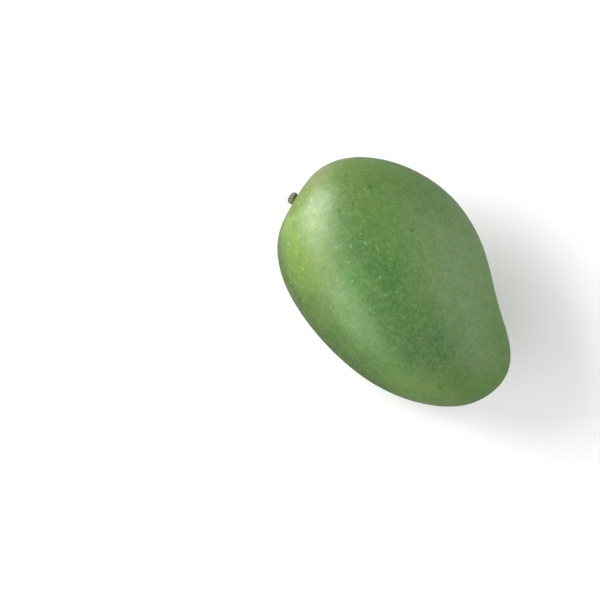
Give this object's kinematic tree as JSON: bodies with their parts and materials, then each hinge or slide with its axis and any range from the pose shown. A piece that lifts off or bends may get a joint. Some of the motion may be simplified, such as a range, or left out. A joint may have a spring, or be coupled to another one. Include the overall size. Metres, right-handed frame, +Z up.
{
  "type": "mango",
  "caption": "Whole green mango lying on its cheek: full shoulders, a hollow above the blunt beak at the tip, and a short stub of stalk in the dip at the stem end",
  "frame": {"origin": "the middle of the small flat spot on the lower cheek that the fruit rests on, at floor height", "axes": "+X runs along the fruit from the stem end to the tip, +Y points to the ventral side with the hollow above the beak, +Z is up through both cheeks"},
  "size_m": [0.1279, 0.0869, 0.0671],
  "materials": {
    "skin": "satin",
    "stalk": "matte"
  },
  "bodies": {
    "root": {"fruit": "skin", "stem": "stalk"}
  },
  "joints": []
}
